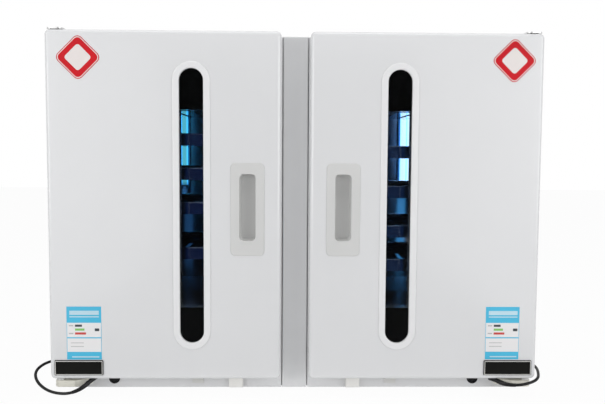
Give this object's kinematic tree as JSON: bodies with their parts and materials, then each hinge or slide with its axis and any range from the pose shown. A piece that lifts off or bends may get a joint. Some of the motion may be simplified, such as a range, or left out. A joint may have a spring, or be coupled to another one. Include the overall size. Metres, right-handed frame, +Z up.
{
  "type": "ultraviolet sterilizer cabinet",
  "caption": "Wide white steel ultraviolet sterilizer cabinet with mirrored doors, tall dark window slots, recessed pulls and short black door leads.",
  "frame": {"origin": "middle of the footprint, on the surface that the foot pads stand on", "axes": "+X across the cabinet to its right as seen from the front, -Y out of the doors, +Z up"},
  "size_m": [1.0591, 0.462, 0.742],
  "materials": {
    "white_paint": "gloss",
    "stainless": "satin",
    "white_plastic": "gloss",
    "grey_plastic": "satin",
    "black_glass": "gloss",
    "tube_glass": "gloss",
    "tube_metal": "satin",
    "grey_paint": "satin",
    "black_plastic": "matt",
    "black_rubber": "matt",
    "seal_rubber": "matt",
    "steel_plate": "satin",
    "cream_casting": "satin",
    "nylon": "matt",
    "plate_black": "gloss"
  },
  "bodies": {
    "cabinet": {"outer_shell": "white_paint", "back_panel": "white_paint", "base_pan": "white_paint", "front_frame_right": "white_paint", "front_frame_left": "white_paint", "centre_strip": "white_paint", "centre_post": "white_paint", "chamber_liner_right": "stainless", "chamber_liner_left": "stainless", "shelf_racks": "stainless", "rack_studs": "stainless", "shelf_trays": "stainless", "lowest_tray_right": "stainless", "lowest_tray_left": "stainless", "lamp_trays": "stainless", "lamp_holders": "white_plastic", "uv_tubes": "tube_glass", "tube_caps": "tube_metal", "ballasts": "grey_paint", "terminal_block": "black_plastic", "mains_inlet": "black_plastic", "foot_pads": "black_rubber", "top_hinge_right": "steel_plate", "top_hinge_left": "steel_plate", "bottom_hinge_right": "cream_casting", "bottom_hinge_left": "cream_casting", "pin_washers": "steel_plate", "switch_bezels": "black_plastic", "door_contacts": "white_plastic", "door_skids": "nylon", "side_gland_right": "black_rubber", "side_gland_left": "black_rubber", "door_lead_right": "black_rubber", "door_lead_left": "black_rubber"},
    "right_door": {"door_skin_right": "white_paint", "door_pan_right": "white_paint", "window_bezel_right": "white_plastic", "window_glass_right": "black_glass", "pull_cup_right": "grey_plastic", "door_gasket_right": "seal_rubber", "hinge_bushes_right": "nylon", "name_plate_right": "plate_black", "contact_magnet_right": "white_plastic", "lead_boot_right": "black_rubber"},
    "left_door": {"door_skin_left": "white_paint", "door_pan_left": "white_paint", "window_bezel_left": "white_plastic", "window_glass_left": "black_glass", "pull_cup_left": "grey_plastic", "door_gasket_left": "seal_rubber", "hinge_bushes_left": "nylon", "name_plate_left": "plate_black", "contact_magnet_left": "white_plastic", "lead_boot_left": "black_rubber"},
    "right_rocker": {"switch_rocker_right": "black_plastic"},
    "left_rocker": {"switch_rocker_left": "black_plastic"}
  },
  "joints": [
    {"name": "right_door_hinge", "type": "hinge", "parent": "cabinet", "child": "right_door", "pos_m": [0.479, -0.203, 0.385], "axis": [0, 0, 1], "range_deg": [0, 110], "deforming": ["door_lead_right"]},
    {"name": "left_door_hinge", "type": "hinge", "parent": "cabinet", "child": "left_door", "pos_m": [-0.479, -0.203, 0.385], "axis": [0, 0, -1], "range_deg": [0, 110], "deforming": ["door_lead_left"]},
    {"name": "right_rocker_tilt", "type": "hinge", "parent": "cabinet", "child": "right_rocker", "pos_m": [0.377, -0.174, 0.0236], "axis": [-1, 0, 0], "range_deg": [0, 12]},
    {"name": "left_rocker_tilt", "type": "hinge", "parent": "cabinet", "child": "left_rocker", "pos_m": [-0.377, -0.174, 0.0236], "axis": [-1, 0, 0], "range_deg": [0, 12]}
  ]
}
